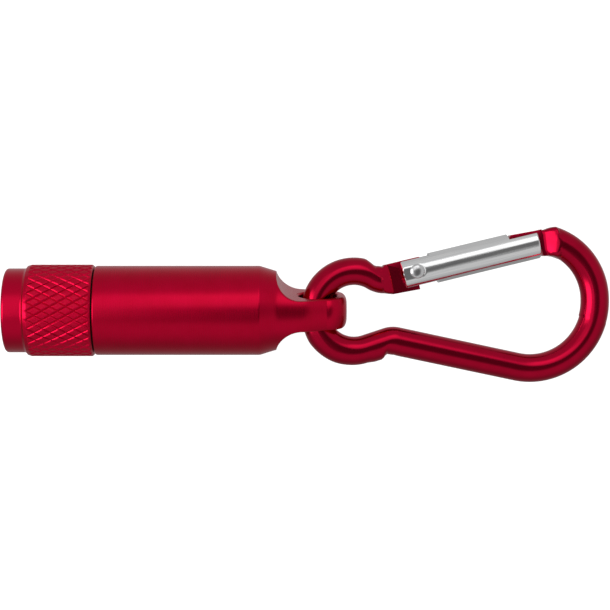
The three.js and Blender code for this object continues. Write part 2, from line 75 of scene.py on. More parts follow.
# Link frame (the carabiner's): origin on the lug hole's axis, +X along the carabiner, +Z through it.
ROD = 2.3
EYE_RADIUS = 6.59
SPINE = dict(eye_exit=18, slope=-12, neck_run=3.8, neck_radius=2.97, run=20.82)
BEND = dict(low=11.2, side_run=0.27, top=10.42, nose=3.2)
HINGE = dict(eye_exit=-31.4, radius=2.4, run=5.2)

# Gate frame: origin on the hinge pin, +X along the gate to the carabiner's nose.
GATE = dict(radius=2.5, swell=0.22, back=-2.35, front=21.35, bore=1.8, bore_end=13.0)
GATE_SLOT = dict(half=1.3, top=2.8, low=3.4)
GATE_NOSE = dict(slot=16.45, floor=-1.3, top=1.55)
PRESS = dict(half=1.1, hinge_flat=-4.35, nose_flat=22.4, nose_skew=0.12)
CHEEK_HALF = ((0.9, 2.3), (1.7, 2.6))  # along the gate: how far its pressed cheeks stand from the middle
TONGUE = dict(top=2.28, low=-2.8, step=-3.05, step_x=0.0)
CAM = dict(face=1.9, arm=1.0, swing=math.radians(31))
NOSE = dict(tip=16.8, shoulder=21.7, tip_top=2.2, top=1.95, low=-1.0, heel=-2.65)
# What the press and the bending tool left on the rod: (distance, value) lines.
# Along the gate from the pin: half the thickness, the section's squareness, the width on each side.
HINGE_HALF = ((-6.2, 2.3), (-5.8, 1.98), (-4.5, 1.38), (-4.35, 1.09))
HINGE_SQUARE = ((-6.2, 2), (-5.6, 5))
HINGE_TOP = ((-7.7, 2.3), (-6.05, 1.66), (-4.9, 2.33), (-4.5, 2.28))
HINGE_LOW = ((-7.5, 2.3), (-5.7, 2.42), (-5.0, 2.68), (-4.35, 2.76))
NOSE_HALF = ((22.3, 1.09), (22.7, 1.25), (24.1, 1.98), (24.5, 2.18), (24.9, 2.3))
NOSE_SQUARE = ((24.3, 6), (25.0, 2))
NOSE_TOP = ((22.0, 1.78), (23.2, 1.82), (24.2, 2.15), (25.0, 2.38))
NOSE_LOW = ((21.7, 2.45), (22.6, 2.6), (23.2, 2.7), (23.6, 2.55), (24.6, 2.42))
# Along the carabiner: the width on the outside of the eye and the spine, with the crease at the neck.
SPINE_OUT = ((-2.7, 2.3), (-1.2, 2.58), (3, 2.6), (5, 2.5), (8.5, 2.38), (9.4, 2.57))
SPINE_OUT += ((10.8, 2.61), (11.6, 1.94), (12.5, 2.4), (13.5, 2.45), (40, 2.42))
RIVET = dict(radius=0.9, head=1.2, height=0.35)
PLUNGER = dict(start=1.95, end=3.95, radius=1.6, stem=0.9)

# ---------- frames
JOINTS = {joint["name"]: joint for joint in frame["joints"]}


def axis_of(name):
    return Vector(JOINTS[name]["axis"]).normalized()


def local_frame(origin, x, z):
    """The matrix from millimetres in a local frame to metres in the row frame."""
    turn = Matrix((x, z.cross(x), z)).transposed().to_4x4()
    return Matrix.Translation(origin) @ turn @ Matrix.Scale(MM, 4)


torch_x = -axis_of("head_turn")
torch_z = torch_x.cross(-axis_of("carabiner_swing")).normalized()
link_z = -axis_of("gate_open")
link_x = Vector((0, 1, 0)).cross(link_z).normalized()
gate_x = axis_of("plunger_travel")
GATE_ANGLE = math.degrees(math.asin(gate_x.y))
TORCH = local_frame(JOINTS["head_turn"]["pos_m"], torch_x, torch_z)
LINK = local_frame(JOINTS["carabiner_swing"]["pos_m"], link_x, link_z)
GATE_FRAME = local_frame(JOINTS["gate_open"]["pos_m"], gate_x, link_z)


# ---------- meshes
def make_piece(name, place, points, faces, sharp=SHARP):
    """An object from points in a local frame, facing out, smooth but for its sharp edges."""
    mesh = bpy.data.meshes.new(name)
    mesh.from_pydata([tuple(p) for p in points], [], faces)
    work = bmesh.new()
    work.from_mesh(mesh)
    bmesh.ops.remove_doubles(work, verts=work.verts, dist=1e-4)
    bmesh.ops.dissolve_degenerate(work, dist=1e-5, edges=work.edges)
    bmesh.ops.recalc_face_normals(work, faces=work.faces)
    if work.calc_volume(signed=True) < 0:
        bmesh.ops.reverse_faces(work, faces=work.faces)
    work.to_mesh(mesh)
    work.free()
    mesh.transform(place)
    smooth(mesh, sharp)
    piece = bpy.data.objects.new(name, mesh)
    bpy.context.scene.collection.objects.link(piece)
    return piece


def smooth(mesh, sharp=SHARP):
    mesh.polygons.foreach_set("use_smooth", [True] * len(mesh.polygons))
    mesh.set_sharp_from_angle(angle=math.radians(sharp))


def grid_faces(rows, columns, closed):
    """Quads of a grid whose columns close on themselves; closed also joins the last row to the first."""
    faces = []
    for i in range(rows if closed else rows - 1):
        here, there = i * columns, ((i + 1) % rows) * columns
        for j in range(columns):
            k = (j + 1) % columns
            faces.append((here + j, here + k, there + k, there + j))
    return faces


def lofted(name, place, points, rows, columns):
    """A solid through rows of points, closed by a flat face at each end."""
    caps = [tuple(range(columns)), tuple(range((rows - 1) * columns, rows * columns))]
    return make_piece(name, place, points, grid_faces(rows, columns, False) + caps)


def turned_points(rows, columns):
    """Points of rows turned about X. A row is (x, radius); the radius may be an array round the row."""
    theta = np.arange(columns) * TAU / columns
    rings = []
    for x, radius in rows:
        r = np.broadcast_to(radius, columns)
        rings.append(np.stack([np.full(columns, x), r * np.cos(theta), r * np.sin(theta)], axis=1))
    return np.concatenate(rings)


def turned(name, place, rows, columns=96, closed=False, sharp=SHARP):
    """A solid turned about X. Open rows start and end on the axis; closed rows make a ring."""
    faces = grid_faces(len(rows), columns, closed)
    return make_piece(name, place, turned_points(rows, columns), faces, sharp)


def rounded(corners, steps=5):
    """A line through (x, y) corners, with an arc at each corner that has a third value, its radius."""
    line = []
    for i, corner in enumerate(corners):
        here = np.array(corner[:2], float)
        if len(corner) < 3:
            line.append(tuple(here))
            continue
        back = np.array(corners[i - 1][:2], float) - here
        ahead = np.array(corners[(i + 1) % len(corners)][:2], float) - here
        back, ahead = back / np.linalg.norm(back), ahead / np.linalg.norm(ahead)
        half = math.acos(np.clip(np.dot(back, ahead), -1, 1)) / 2
        reach = corner[2] / math.tan(half)
        start, end = here + back * reach, here + ahead * reach
        centre = here + (back + ahead) / np.linalg.norm(back + ahead) * corner[2] / math.sin(half)
        for k in range(steps + 1):
            chord = start + (end - start) * k / steps - centre
            line.append(tuple(centre + chord / np.linalg.norm(chord) * corner[2]))
    return line


def soft_min(a, b, size):
    """The smaller of two values, rounded over where they cross."""
    return np.minimum(a, b) - np.maximum(size - np.abs(a - b), 0) ** 2 / (4 * size)


def combine(piece, other, operation="DIFFERENCE"):
    """Cuts another object out of a piece, or joins it on, and drops the other."""
    modifier = piece.modifiers.new("combine", "BOOLEAN")
    modifier.operation = operation
    modifier.object = other
    modifier.solver = "EXACT"
    graph = bpy.context.evaluated_depsgraph_get()
    mesh = bpy.data.meshes.new_from_object(piece.evaluated_get(graph))
    piece.modifiers.clear()
    piece.data = mesh
    bpy.data.objects.remove(other)
    smooth(mesh, SHARP_CUT)
    return piece


def layered(name, place, loop, layers):
    """A solid of one flat loop stacked at (inset, z) layers. The inset moves each side inwards."""
    loop = np.array(loop, float)
    ahead = np.roll(loop, -1, axis=0) - loop
    ahead /= np.linalg.norm(ahead, axis=1)[:, None]
    back = np.roll(ahead, 1, axis=0)
    mitre = np.stack([-(ahead + back)[:, 1], (ahead + back)[:, 0]], axis=1)
    mitre /= (1 + np.sum(ahead * back, axis=1))[:, None]
    n = len(loop)
    points = [(*(loop[i] + mitre[i] * inset), z) for inset, z in layers for i in range(n)]
    return lofted(name, place, points, len(layers), n)


def plate(name, place, loop, low, high, edge=0.12, steps=3):
    """A flat plate between two heights, with its edges rounded. The loop runs anticlockwise."""
    quarter = [QUARTER * k / steps for k in range(steps + 1)]
    foot = [(edge * (1 - math.sin(a)), low + edge * (1 - math.cos(a))) for a in quarter]
    head = [(edge * (1 - math.cos(a)), high - edge * (1 - math.sin(a))) for a in quarter]
    return layered(name, place, loop, foot + head)


def bar(name, place, low, high, radius=0.0):
    """A box whose edges along X can be rounded."""
    (x0, y0, z0), (x1, y1, z1) = low, high
    corners = [(y0, z0), (y1, z0), (y1, z1), (y0, z1)]
    loop = rounded([(*c, radius) for c in corners], 4) if radius else corners
    n = len(loop)
    points = [(x, y, z) for x in (x0, x1) for y, z in loop]
    return lofted(name, place, points, 2, n)


def coil(name, place, x0, x1, r0, r1, turns, wire, sides=12, per_turn=40, dead=0.75):
    """A wound spring along X whose end turns lie closed for the given share of a turn."""
    steps = int(turns * per_turn)
    t = np.linspace(0, 1, steps + 1)
    lie = dead / turns
    rise = wire * dead
    free = np.clip((t - lie) / (1 - 2 * lie), 0, 1)
    ends = np.clip(t / lie, 0, 1) + np.clip((t - 1 + lie) / lie, 0, 1)
    points = []
    centres = x0 + rise * ends + (x1 - x0 - 2 * rise) * free
    for centre, r, angle in zip(centres, r0 + (r1 - r0) * t, TAU * turns * t):
        for k in range(sides):
            b = TAU * k / sides
            radius = r + wire / 2 * math.cos(b)
            along = centre + wire / 2 * math.sin(b)
            points.append((along, radius * math.cos(angle), radius * math.sin(angle)))
    return lofted(name, place, points, steps + 1, sides)


# ---------- the torch's shells
def thread_height(x, columns, start, end, clearance=0.0):
    """How far the single-start thread stands out at x, for each column round the axis."""
    theta = np.arange(columns) / columns
    turn = np.round((x - start) / THREAD["pitch"] - theta)
    centre = start + THREAD["pitch"] * (theta + turn)
    foot, crest = 0.25 + clearance, 0.06 + clearance
    rise = np.clip((foot - np.abs(x - centre)) / (foot - crest), 0, 1)
    run_out = np.clip((centre - start) / 0.2, 0, 1) * np.clip((end - centre) / 0.2, 0, 1)
    return THREAD["depth"] * rise * run_out


KNURL_PITCH = TAU * HEAD["knurl"] / KNURL["starts"] / math.tan(math.radians(KNURL["helix"]))
KNURL_STEP = KNURL_PITCH / KNURL["samples"]


def knurl_away(row, columns, hand, offset=0.0):
    """How many samples each column lies from the middle of the nearest groove of one hand."""
    period = KNURL["samples"]
    across = np.arange(columns) + offset + hand * (row + offset)
    return np.abs(across - period * np.round(across / period))


def head():
    """The lip, the knurled grip and the threaded neck, with a window for the lens in front."""
    h = HEAD
    columns = KNURL["starts"] * KNURL["samples"]
    window = WINDOW["radius"] + WINDOW["flare"]
    front, sill = h["front"], h["front"] + WINDOW["depth"]
    face = [(sill, WINDOW["radius"]), (sill - 0.1, WINDOW["radius"] - 0.02), (front + 0.1, window - 0.05)]
    face += [(front, window + 0.06), (front, h["lip"], h["lip_round"]), (h["lip_end"], h["lip"], 0.5)]
    face += [(h["lip_end"] + 0.36, h["knurl"] - 0.16, 0.12), (h["knurl_x"], h["knurl"] - 0.03)]
    rows = rounded(face)
    first = len(rows)
    count = int((h["rear"] - h["knurl_x"]) / KNURL_STEP)
    for i in range(-count, 1):
        x = h["rear"] + i * KNURL_STEP
        away = np.minimum(knurl_away(i, columns, 1), knurl_away(i, columns, -1))
        cut = np.clip(1 - away / KNURL["half_groove"], 0, 1) * KNURL["depth"]
        rear = h["knurl"] - 0.3 + (h["rear"] - x)
        rows.append((x, np.minimum(h["knurl"] - cut, rear)))
    last = len(rows) - 1
    rows += [(h["rear"], 6.15), (h["rear"] + 0.1, NECK["groove"]), (NECK["groove_end"], NECK["groove"])]
    rows += [(NECK["groove_end"] + 0.05, THREAD["root"])]
    for x in np.arange(0.78, NECK["end"] - 0.25, THREAD["pitch"] / 12):
        height = thread_height(x, columns, THREAD["start"], THREAD["ridge_end"])
        rows.append((x, THREAD["root"] + height))
    inside = [(NECK["end"] - 0.2, THREAD["root"]), (NECK["end"], THREAD["root"] - 0.2)]
    inside += [(NECK["end"], NECK["bore"], 0.12), (sill, NECK["bore"])]
    rows += rounded(inside, 3)
    faces = grid_faces(first + 1, columns, False)
    quads = grid_faces(len(rows), columns, True)
    for i in range(first, last):
        row = i - last
        plus = knurl_away(row, columns, 1, 0.5)
        minus = knurl_away(row, columns, -1, 0.5)
        for j in range(columns):
            a, b, c, d = quads[i * columns + j]
            faces += [(a, b, d), (b, c, d)] if plus[j] < minus[j] else [(a, b, c), (a, c, d)]
    faces += quads[last * columns :]
    return make_piece("head_knurled", TORCH, turned_points(rows, columns), faces, 40)


def barrel_profile():
    """The barrel's outside, turned, from the front rim to where the lug rounds off."""
    b, s = BARREL, SHOULDER
    line = [(b["front"], b["seal_radius"] + 0.12), (b["front"], b["radius"], b["rim"])]
    line += [(s["start"], b["radius"], 1.2), (s["cone_end"], s["cone_radius"], 6)]
    line += [(s["waist"], s["waist_radius"], 10), (LUG["end"] - LUG["corner"], LUG["flat"] + LUG["corner"])]
    return rounded(line, 8)


def lug_half(x):
    """Half of the width that the two round scoops leave at x."""
    corner = 0.9
    if x > LUG["end"] - corner:
        inward = x - (LUG["end"] - corner)
        return LUG["half"] - corner + math.sqrt(max(corner**2 - inward**2, 0))
    if x > LUG["scoop_x"]:
        return LUG["half"]
    return LUG["half"] + LUG["scoop"] - math.sqrt(max(LUG["scoop"] ** 2 - (x - LUG["scoop_x"]) ** 2, 0))


def lug_rows(columns, profile):
    """Rows of the waist and the lug: the turned outside pinched between two round scoops."""
    nose = LUG["end"] - LUG["corner"]
    scoop = [LUG["scoop_x"] - LUG["scoop"] * math.cos(a) for a in np.linspace(0, QUARTER, 70)]
    end = [nose + LUG["corner"] * math.sin(a) for a in np.linspace(0, QUARTER, 40)]
    theta = np.arange(columns) * TAU / columns
    turned_x, turned_r = zip(*profile)
    rows = []
    for x in scoop + list(np.linspace(LUG["scoop_x"] + 0.2, nose - 0.1, 16)) + end:
        radius = np.interp(x, turned_x, turned_r)
        if x > nose:
            radius = LUG["flat"] + math.sqrt(max(LUG["corner"] ** 2 - (x - nose) ** 2, 0))
        flank = lug_half(x) / np.maximum(np.abs(np.cos(theta)), 1e-3)
        rows.append((x, soft_min(np.full(columns, radius), flank, 0.35)))
    return rows + [(LUG["end"], 0)]


def barrel():
    """The barrel: a threaded bore in front, and at the tail a lug with a cross hole for the carabiner."""
    columns = 360
    b = BARREL
    rows = [(b["bore_end"], 0), (b["bore_end"], b["bore"] - 0.3), (b["bore_end"] - 0.3, b["bore"])]
    rows += [(THREAD["groove_end"] + 0.7, b["bore"]), (THREAD["groove_end"] + 0.6, THREAD["wall"])]
    lead = THREAD["start"] - 3 * THREAD["pitch"]
    for x in np.arange(b["seal_depth"] + 0.02, THREAD["groove_end"] + 0.5, THREAD["pitch"] / 12)[::-1]:
        rows.append((x, THREAD["wall"] + thread_height(x, columns, lead, THREAD["groove_end"], 0.08)))
    rows += [(b["seal_depth"], THREAD["wall"]), (b["seal_depth"], b["seal_radius"])]
    rows += [(b["front"] + 0.12, b["seal_radius"])]
    profile = barrel_profile()
    scoop_start = LUG["scoop_x"] - LUG["scoop"]
    rows += [point for point in profile if point[0] < scoop_start - 0.05]
    rows += lug_rows(columns, profile)
    shell = turned("barrel_anodised", TORCH, rows, columns)
    return combine(shell, lug_hole())


def lug_hole():
    """A cutter for the cross hole, flared at both faces so that its rims come out rounded."""
    flare, face = 0.35, LUG["half"]
    quarter = np.linspace(0, QUARTER, 6)
    side = [(face - flare * (1 - math.sin(a)), LUG["hole"] + flare * (1 - math.cos(a))) for a in quarter]
    rows = [(-x, r) for x, r in side[::-1]] + side
    reach, wide = face + 1, side[-1][1]
    rows = [(-reach, 0), (-reach, wide)] + rows + [(reach, wide), (reach, 0)]
    across = TORCH @ Matrix.Translation((LUG["hole_x"], 0, 0)) @ Matrix.Rotation(QUARTER, 4, "Z")
    return turned("hole_cutter", across, rows, 96)


# ---------- the carabiner
class Pen:
    """Draws a flat path by straight runs and bends, as (x, y, heading) stations."""

    def __init__(self, x, y, heading):
        self.x, self.y, self.heading = x, y, math.radians(heading)
        self.stations = [(x, y, self.heading)]

    def step(self, chord, turn):
        self.heading += turn / 2
        self.x += chord * math.cos(self.heading)
        self.y += chord * math.sin(self.heading)
        self.heading += turn / 2
        self.stations.append((self.x, self.y, self.heading))

    def run(self, length, spacing=0.4):
        steps = math.ceil(length / spacing)
        for _ in range(steps):
            self.step(length / steps, 0)
        return self

    def bend(self, radius, degrees, spacing=0.3):
        steps = math.ceil(radius * abs(math.radians(degrees)) / spacing)
        turn = math.radians(degrees) / steps
        for _ in range(steps):
            self.step(2 * radius * math.sin(abs(turn) / 2), turn)
        return self


PIN = LINK.inverted() @ Vector(JOINTS["gate_open"]["pos_m"])
ALONG = Vector((math.cos(math.radians(GATE_ANGLE)), math.sin(math.radians(GATE_ANGLE))))
ACROSS = Vector((-ALONG.y, ALONG.x))
ROD_START, ROD_END = -4.25, 21.75  # where the rod ends inside its two tongues, along the gate
PRESS_REACH = 90  # how many stations at each end can carry marks of the press


def rod_stations():
    """The rod's centreline from the hinge tongue round the eye, the spine and the wide bend to the nose."""
    start = PIN.xy + ALONG * ROD_START
    pen = Pen(start.x, start.y, GATE_ANGLE + 180)
    pen.run(HINGE["run"] + ROD_START, 0.1)
    pen.bend(HINGE["radius"], HINGE["eye_exit"] - GATE_ANGLE, 0.07)
    pen.bend(EYE_RADIUS, 180 - HINGE["eye_exit"] + SPINE["eye_exit"])
    pen.run(SPINE["neck_run"])
    pen.bend(SPINE["neck_radius"], SPINE["slope"] - SPINE["eye_exit"], 0.07)
    pen.run(SPINE["run"])
    pen.bend(BEND["low"], 90 - SPINE["slope"])
    pen.run(BEND["side_run"])
    centre = Vector((pen.x - BEND["top"], pen.y))
    rise = ACROSS.dot(PIN.xy - centre) - BEND["nose"]
    to_nose = ACROSS * rise + ALONG * math.sqrt((BEND["top"] - BEND["nose"]) ** 2 - rise**2)
    switch = math.degrees(math.atan2(to_nose.y, to_nose.x))
    pen.bend(BEND["top"], switch)
    pen.bend(BEND["nose"], 90 + GATE_ANGLE - switch, 0.08)
    reach = ALONG.dot(Vector((pen.x, pen.y)) - PIN.xy)
    pen.run(reach - ROD_END, 0.08)
    return pen.stations


def read(line, at):
    """The value of a (distance, value) line."""
    return np.interp(at, *zip(*line))


def rod_section(x, y, heading, angle, spot):
    """Points round the rod at one station. The spot says whether a pressed end is near."""
    out, up = np.cos(angle), np.sin(angle)
    dx, dy, turn = x - PIN.x, y - PIN.y, math.radians(GATE_ANGLE) - heading
    along = dx * ALONG.x + dy * ALONG.y + ROD * out * math.sin(turn)
    if spot == "hinge":
        half, square = read(HINGE_HALF, along), read(HINGE_SQUARE, along)
        inner, outer = read(HINGE_LOW, along), read(HINGE_TOP, along)
    elif spot == "nose":
        side = dx * ACROSS.x + dy * ACROSS.y + ROD * out * math.cos(turn)
        skewed = along - PRESS["nose_skew"] * side
        half, square = read(NOSE_HALF, skewed), read(NOSE_SQUARE, skewed)
        inner, outer = read(NOSE_LOW, along), read(NOSE_TOP, along)
    else:
        half, square, inner = ROD, 2.0, ROD
        outer = read(SPINE_OUT, x - ROD * out * math.sin(heading)) if y < 0 else ROD
    size = (np.abs(out) ** square + np.abs(up) ** square) ** (-1 / square)
    out = out * size * np.where(out > 0, inner, outer)
    return np.stack([x - out * math.sin(heading), y + out * math.cos(heading), half * up * size], axis=1)


def carabiner():
    """The bent rod, pressed flat at both ends into the tongues that hold and stop the gate."""
    sides = 80
    angle = (np.arange(sides) + 0.5) * TAU / sides
    stations = rod_stations()
    points = []
    for i, (x, y, heading) in enumerate(stations):
        left = len(stations) - 1 - i
        spot = "hinge" if i < PRESS_REACH else "nose" if left < PRESS_REACH else "free"
        points.append(rod_section(x, y, heading, angle, spot))
    rod = lofted("carabiner_body_anodised", LINK, np.concatenate(points), len(stations), sides)
    for loop in (hinge_tongue(), nose_tongue()):
        combine(rod, plate("tongue", GATE_FRAME, loop, -PRESS["half"], PRESS["half"], 0.05), "UNION")
    return rod


def hinge_tongue():
    """The hinge tongue's outline. Its end is the cam that the sprung plunger rides on."""
    t, root, chamfer = TONGUE, PRESS["hinge_flat"] - 0.3, 0.9
    cam = []
    for a in np.linspace(CAM["swing"], 0, 7):
        reach = CAM["face"] + CAM["arm"] * a
        x = reach * math.cos(a) - CAM["arm"] * math.sin(a)
        cam.append((x, -reach * math.sin(a) - CAM["arm"] * math.cos(a)))
    foot = [(root, t["low"]), (t["step_x"], t["step"]), (t["step_x"], cam[0][1])]
    top = [(CAM["face"], t["top"] - chamfer), (CAM["face"] - chamfer, t["top"]), (root, t["top"])]
    return foot + cam + top


def nose_tongue():
    """The nose tongue's outline: the flat that the gate's slotted end closes over."""
    n, inside = NOSE, PRESS["nose_flat"]
    foot = [(n["tip"], n["low"] + 0.5), (n["tip"] + 0.5, n["low"]), (n["shoulder"], n["low"])]
    foot += [(n["shoulder"], n["heel"] + 0.2), (inside, n["heel"])]
    top = [(inside, n["top"]), (n["shoulder"], n["top"]), (n["tip"] + 0.3, n["tip_top"])]
    return foot + top + [(n["tip"], n["tip_top"] - 0.3)]


# ---------- the gate
def gate():
    """The gate: a bored rod, slotted at both ends, with its two hinge cheeks pressed flat."""
    g = GATE
    columns = 128
    theta = np.arange(columns) * TAU / columns
    sine = np.abs(np.sin(theta))
    swell = 1 + g["swell"] / g["radius"] * np.maximum(-np.cos(theta), 0) ** 2
    back, front = (g["back"], g["radius"], 0.3), (g["front"], g["radius"], 0.25)
    line = rounded([(g["back"], 1.9), back, front, (g["front"], 0)])
    cheek = list(np.arange(g["back"] + 0.4, 2.2, 0.12))
    middle = list(np.linspace(2.3, g["front"] - 0.4, 24))
    outside = [p for p in line[1:] if p[0] < g["back"] + 0.35]
    outside += [(x, g["radius"]) for x in cheek + middle]
    outside += [p for p in line if p[0] > g["front"] - 0.3]
    rows = [(g["bore_end"] + 0.9, 0), (g["bore_end"], g["bore"])]
    rows += [(g["back"] + 0.15, g["bore"]), (g["back"], g["bore"] + 0.15)]
    for x, r in outside:
        flat = read(CHEEK_HALF, x)
        rows.append((x, soft_min(r * swell, flat / np.maximum(sine, 1e-3), 0.08)))
    tube = turned("gate_bare_metal", GATE_FRAME, rows, columns)
    s = GATE_SLOT["half"]
    cuts = [
        ((g["back"] - 1, 0, -s), (GATE_SLOT["top"], 4, s)),
        ((g["back"] - 1, -4, -s), (GATE_SLOT["low"], 0.1, s)),
        ((GATE_NOSE["slot"], GATE_NOSE["floor"], -s), (g["front"] + 1, 4, s)),
        ((GATE_NOSE["slot"], GATE_NOSE["top"], -4), (g["front"] + 1, 4, 4)),
    ]
    for low, high in cuts:
        combine(tube, bar("slot_cutter", GATE_FRAME, low, high))
    return tube


def rivet():
    r = RIVET
    dome = []
    for a in np.linspace(0, QUARTER, 7):
        dome.append((GATE["radius"] + 0.02 + r["height"] * math.sin(a), r["head"] * math.cos(a)))
    seat = GATE["radius"] - 0.22
    side = [(seat, r["radius"]), (seat, r["head"])] + dome
    rows = [(-x, radius) for x, radius in side[::-1]] + side
    through = GATE_FRAME @ Matrix.Rotation(-QUARTER, 4, "Y")
    return turned("gate_rivet_domed", through, rows, 48)


def plunger():
    p = PLUNGER
    step = p["end"] - 0.8
    line = [(p["start"], 0), (p["start"], p["radius"], 0.25), (step, p["radius"], 0.1)]
    line += [(step, p["stem"]), (p["end"], p["stem"], 0.2), (p["end"], 0)]
    return turned("gate_plunger_turned", GATE_FRAME, rounded(line, 4), 48)


# ---------- the light module
def disc(name, front, back, edge, steps):
    """A round plate as wide as the light module."""
    r = MODULE_RADIUS
    return turned(name, TORCH, rounded([(front, 0), (front, r, edge), (back, r, edge), (back, 0)], steps))


def plain_ring(name, front, back, inner, outer, inner_edge, outer_edge):
    """A ring round the torch's axis with its edges rounded."""
    loop = [(front, inner, inner_edge), (back, inner, inner_edge)]
    loop += [(back, outer, outer_edge), (front, outer, outer_edge)]
    return turned(name, TORCH, rounded(loop, 3), closed=True)


def lens():
    return disc("lens_window", LENS_FRONT, LENS_FRONT + 1.0, 0.12, 3)


def reflector():
    """A parabolic cup: its bright inside narrows to the light's dome."""
    r = REFLECTOR
    cup = []
    for radius in np.linspace(r["throat"], r["mouth"], 20):
        rise = (radius**2 - r["throat"] ** 2) / (r["mouth"] ** 2 - r["throat"] ** 2)
        cup.append((r["back"] - 0.4 + (r["front"] - r["back"] + 0.4) * rise, radius))
    wide, waist = MODULE_RADIUS, MODULE_RADIUS - 0.35
    outside = [(r["front"], wide, 0.1), (r["front"] + 0.8, wide), (r["front"] + 0.9, waist)]
    outside += [(r["back"] - 0.5, waist), (r["back"] - 0.4, wide), (r["back"], wide)]
    outside += [(r["back"], r["throat"])]
    return turned("reflector_cup", TORCH, cup + rounded(outside, 3)[1:], closed=True)


def led():
    """The light's clear epoxy body: a dome, and a flange with one flat."""
    d = LED
    dome = d["base"] - d["length"] + d["radius"]
    arc = np.linspace(0, QUARTER, 16)
    rows = [(dome - d["radius"] * math.cos(a), d["radius"] * math.sin(a)) for a in arc]
    flange = d["base"] - d["flange"]
    columns = 96
    flat = (d["radius"] + 0.05) / np.maximum(np.cos(np.arange(columns) * TAU / columns), 1e-3)
    edge = np.minimum(d["flange_radius"], flat)
    rows += [(flange - 0.1, d["radius"]), (flange, d["radius"] + 0.04)]
    rows += [(flange, edge - 0.08), (flange + 0.08, edge)]
    rows += [(d["base"] - 0.08, edge), (d["base"], edge - 0.08), (d["base"], 0)]
    return turned("led_epoxy_body", TORCH, rows, columns)


def led_frame():
    """The metal posts in the epoxy, with the small cup that holds the chip."""
    x = LED["base"] - 0.1
    cup = x - 4.9
    rows = [(cup + 0.3, 0), (cup + 0.3, 0.3), (cup, 0.52), (cup, 0.68), (cup + 0.9, 0.55), (cup + 1.0, 0)]
    anvil = turned("led_lead_frame", TORCH @ Matrix.Translation((0, -0.35, 0)), rows, 32)
    blades = [
        [(cup + 0.8, 0.1), (cup + 0.8, -0.9), (cup + 2.2, -1.5), (x, -1.5), (x, -1.0), (cup + 3.0, -1.0)],
        [(cup + 0.2, 0.75), (cup + 3.2, 0.75), (x, 1.0), (x, 1.5), (cup + 1.6, 1.5), (cup + 0.2, 1.15)],
    ]
    for loop in blades:
        area = sum(a[0] * b[1] - b[0] * a[1] for a, b in zip(loop, loop[1:] + loop[:1]))
        loop = loop if area > 0 else loop[::-1]
        combine(anvil, plate("blade", TORCH, loop, -0.24, 0.24, 0.06), "UNION")
    return anvil


def led_chip():
    """The phosphor drop in the cup."""
    cup = LED["base"] - 5.0
    rows = [(cup + 0.05 - 0.18 * math.cos(a), 0.46 * math.sin(a)) for a in np.linspace(0, QUARTER, 6)]
    rows += [(cup + 0.28, 0.3), (cup + 0.28, 0)]
    return turned("led_phosphor", TORCH @ Matrix.Translation((0, -0.35, 0)), rows, 24)


def holder():
    """The moulded bush round the light, with shallow ribs outside."""
    h, d = HOLDER, LED
    columns = 120
    ribs = 0.12 * (np.sin(np.arange(columns) * TAU / columns * 10) > 0.3)
    wall = MODULE_RADIUS - ribs
    front, end, foot, base = h["front"], h["end"], d["base"] - d["flange"] - 0.1, d["base"] + 0.1
    rows = [(front, d["radius"] + 0.1), (front, MODULE_RADIUS - 0.15), (front + 0.15, MODULE_RADIUS)]
    rows += [(front + 1.2, MODULE_RADIUS), (front + 1.35, wall), (end - 1.35, wall)]
    rows += [(end - 1.2, MODULE_RADIUS), (end - 0.15, MODULE_RADIUS), (end, MODULE_RADIUS - 0.15)]
    rows += [(end, h["room"] + 0.12), (end - 0.12, h["room"]), (base, h["room"])]
    rows += [(base, d["flange_radius"] + 0.1), (foot, d["flange_radius"] + 0.1), (foot, d["radius"] + 0.1)]
    return turned("led_holder_moulded", TORCH, rows, columns, closed=True)


def lead(name, side):
    """A square lead from the light's base through the board, with its punched shoulder."""
    half, y = LEAD["half"], side * LEAD["offset"]
    start, end, stop = LED["base"] + 0.05, BOARD["back"] + 0.25, LED["base"] + 1.5
    back, wide = stop - 0.8, 0.42
    loop = [(start, y - half), (back, y - half), (back, y - wide), (stop, y - wide), (stop, y - half)]
    loop += [(end - 0.1, y - half), (end, y - half + 0.1), (end, y + half - 0.1), (end - 0.1, y + half)]
    loop += [(stop, y + half), (stop, y + wide), (back, y + wide), (back, y + half), (start, y + half)]
    return plate(name, TORCH, loop, -half, half, 0.05)


def board():
    """The round circuit board, drilled for the leads."""
    plain = disc("led_board_laminate", BOARD["front"], BOARD["back"], 0.08, 2)
    for side in (1, -1):
        at = TORCH @ Matrix.Translation((0, side * LEAD["offset"], 0))
        combine(plain, turned("drill", at, [(0, 0), (0, 0.4), (5, 0.4), (5, 0)], 24))
    return plain


def solder(name, side):
    """A solder fillet that climbs the lead's end."""
    base = BOARD["back"]
    rows = [(base + 0.02, 0.0), (base, 0.85)]
    rows += [(base + 0.32 * (1 - t) ** 2, 0.85 * t) for t in np.linspace(0.95, 0.3, 8)] + [(base + 0.22, 0)]
    return turned(name, TORCH @ Matrix.Translation((0, side * LEAD["offset"], 0)), rows, 32)


def contact_pad():
    """The tinned ring on the board's back that the contact spring sits on."""
    low, high, inner, outer = BOARD["back"] - 0.02, BOARD["back"] + 0.05, 2.25, 3.0
    rows = rounded([(low, inner), (high, inner, 0.02), (high, outer, 0.02), (low, outer)], 2)
    return turned("led_board_pad", TORCH, rows, 72, closed=True)


def retainer():
    """The pressed ring that keeps the light module in the head, split by two spanner slots."""
    front, back, inner, outer = BOARD["back"] + 0.1, NECK["end"] - 0.1, 4.6, NECK["bore"] - 0.05
    ring = plain_ring("module_retainer_ring", front, back, inner, outer, 0.08, 0.12)
    return combine(ring, bar("slot_cutter", TORCH, (back - 0.3, -6, -0.5), (back + 1, 6, 0.5)))


